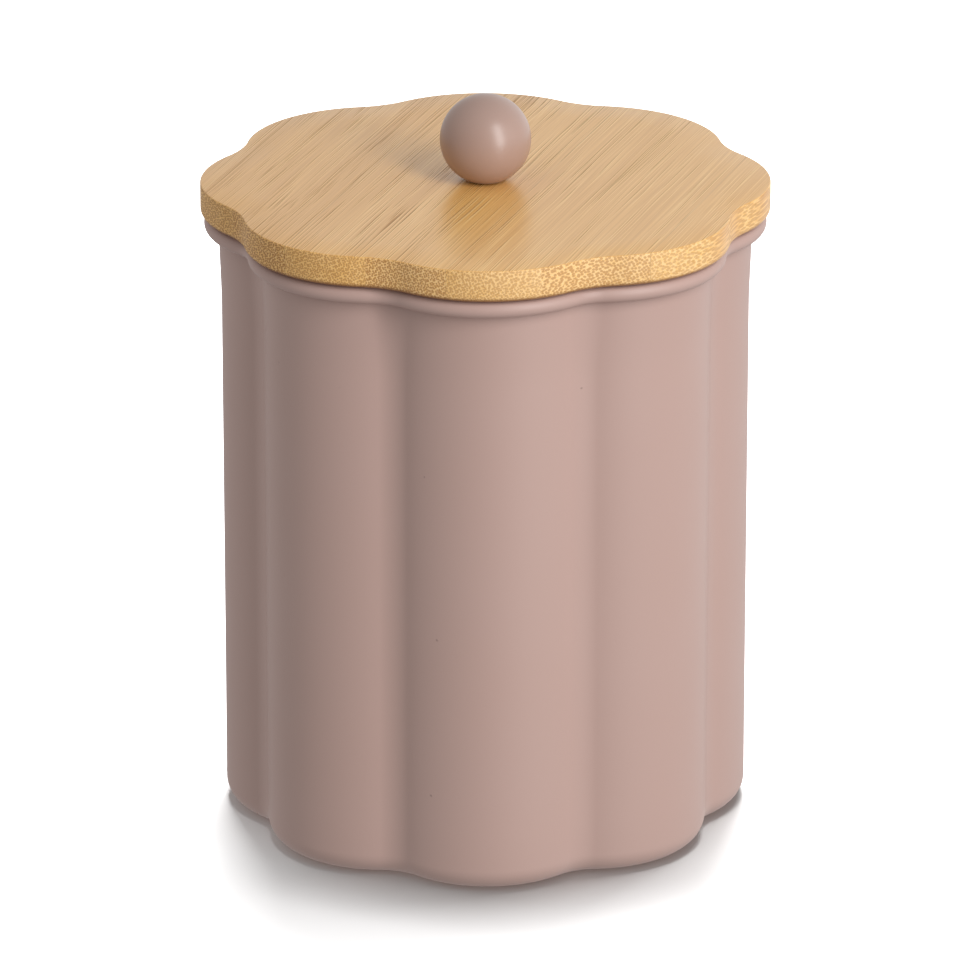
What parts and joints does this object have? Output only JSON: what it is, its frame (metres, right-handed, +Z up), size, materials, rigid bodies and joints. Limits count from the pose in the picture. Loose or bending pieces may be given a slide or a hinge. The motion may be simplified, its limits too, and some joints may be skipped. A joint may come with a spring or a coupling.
{
  "type": "storage jar",
  "caption": "Lobed steel storage canister with a rolled rim and a lift-off bamboo lid that has a sealing plug and a ball knob.",
  "frame": {"origin": "middle of the base, on the surface that the jar stands on", "axes": "+Z up along the jar's axis, through the knob; a lobe faces -Y"},
  "size_m": [0.125, 0.125, 0.1644],
  "materials": {
    "painted_steel": "satin dusty-pink powder coat",
    "bamboo_board": "laminated bamboo, satin varnish",
    "bamboo_plug": "laminated bamboo, oiled",
    "silicone_seal": "translucent white silicone",
    "painted_knob": "turned wood under satin dusty-pink paint",
    "plated_screw": "zinc plated"
  },
  "bodies": {
    "canister": {"canister_body": "painted_steel"},
    "lid": {"lid_board": "bamboo_board", "lid_plug": "bamboo_plug", "lid_seal": "silicone_seal", "knob": "painted_knob", "knob_screw": "plated_screw"}
  },
  "joints": [
    {"name": "lid_lift", "type": "slide", "parent": "canister", "child": "lid", "axis": [0, 0, 1], "range_m": [0, 0.1]}
  ]
}
